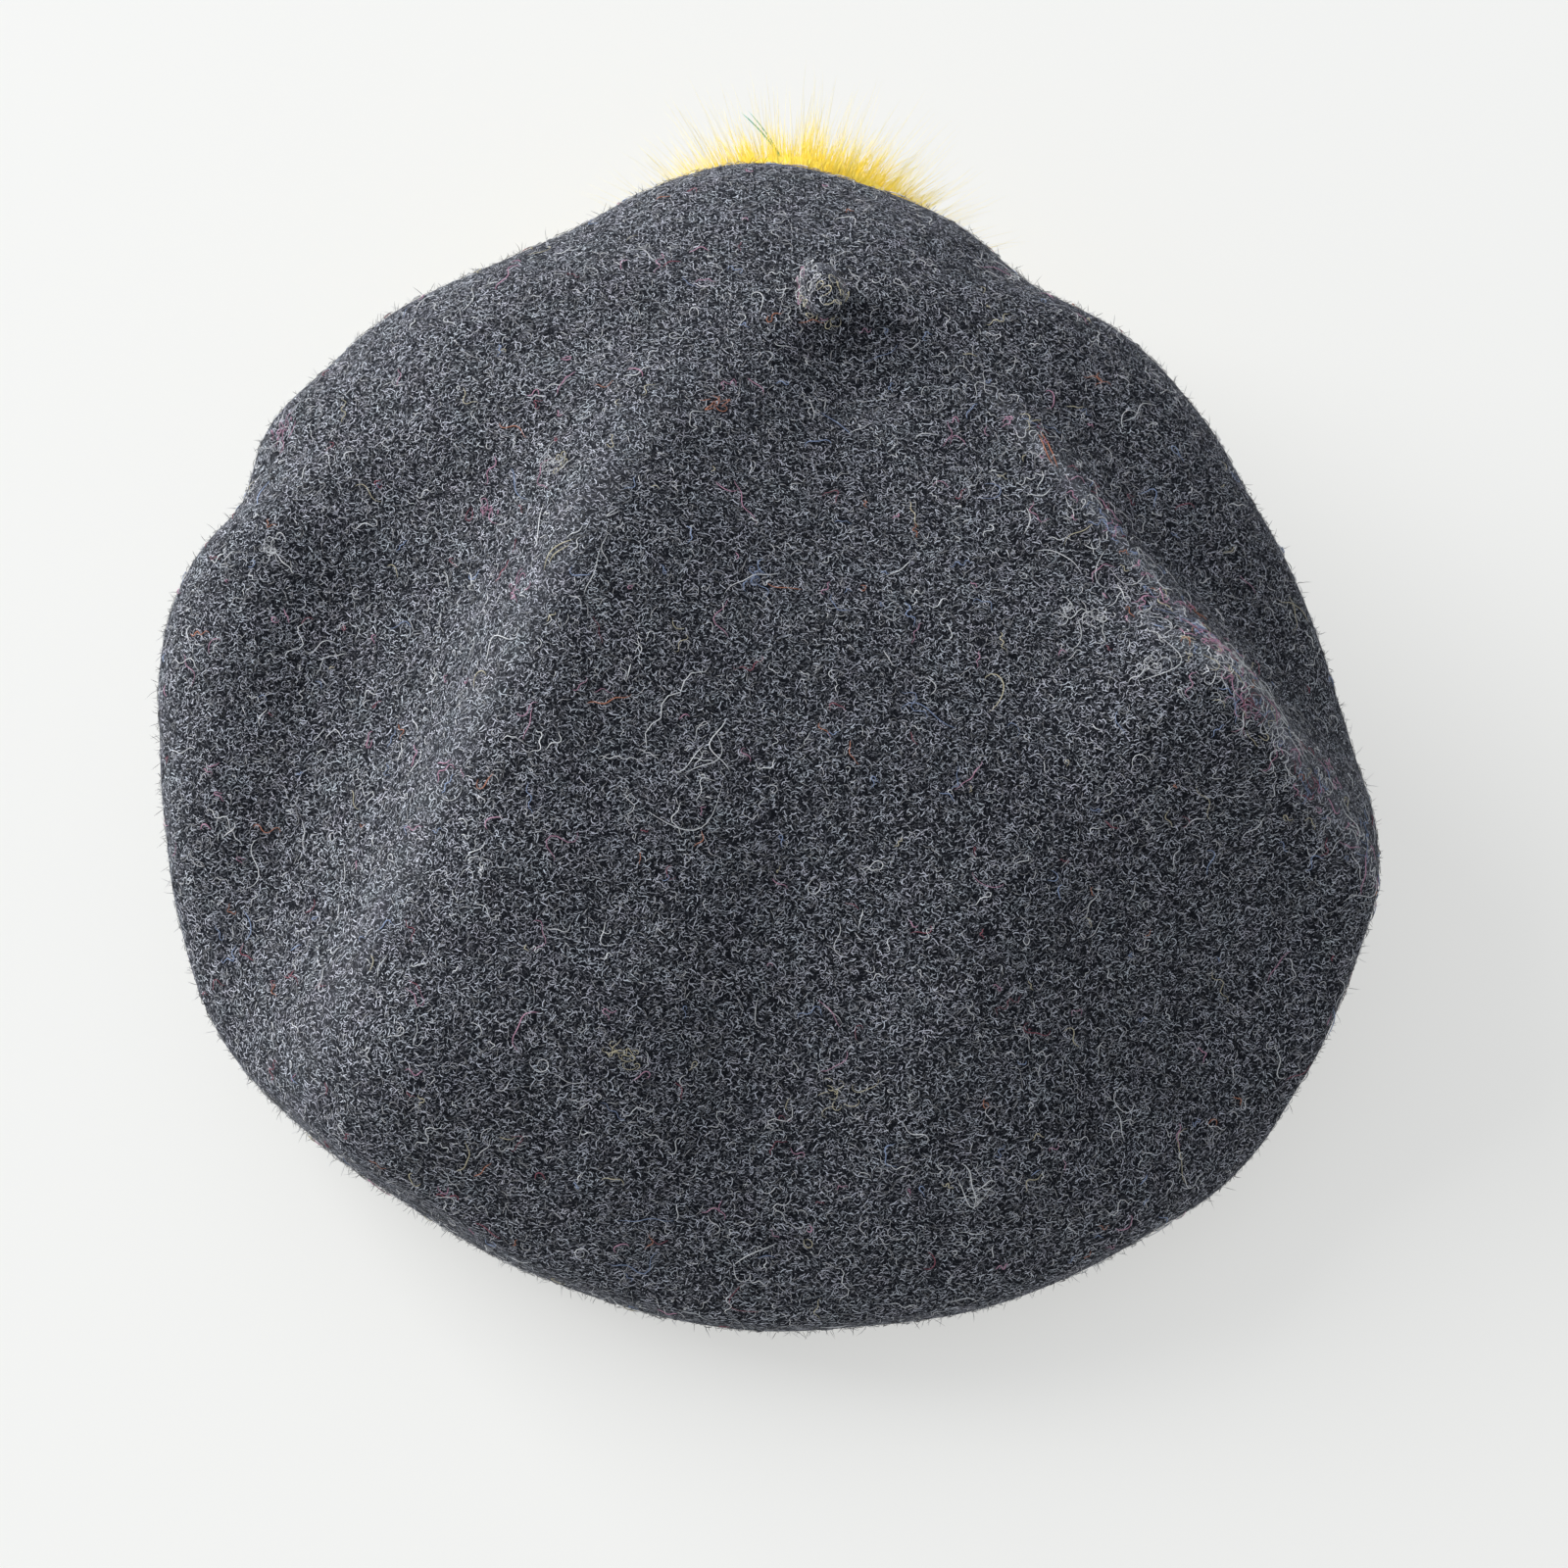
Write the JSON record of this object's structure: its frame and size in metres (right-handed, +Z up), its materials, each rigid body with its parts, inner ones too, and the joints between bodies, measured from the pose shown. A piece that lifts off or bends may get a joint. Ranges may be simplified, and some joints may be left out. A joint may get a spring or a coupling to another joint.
{
  "type": "basque beret",
  "caption": "Round wool felt beret with soft folds, a short felt stalk on the crown, a turned-under edge round an open head hole, and a fur pompom at the front.",
  "frame": {"origin": "middle of the whole beret's outline seen from above, on the surface that it rests on", "axes": "+Z up out of the crown, +Y to the front where the pompom is, +X to the right as seen from behind"},
  "size_m": [0.2469, 0.267, 0.1099],
  "materials": {
    "felt": "matte fulled wool with a short nap",
    "stalk_felt": "matte, curly loose fibres",
    "fur": "soft long pile"
  },
  "bodies": {
    "root": {"felt_shell": "felt", "stalk": "stalk_felt", "fur_pompom": "fur"}
  },
  "joints": []
}
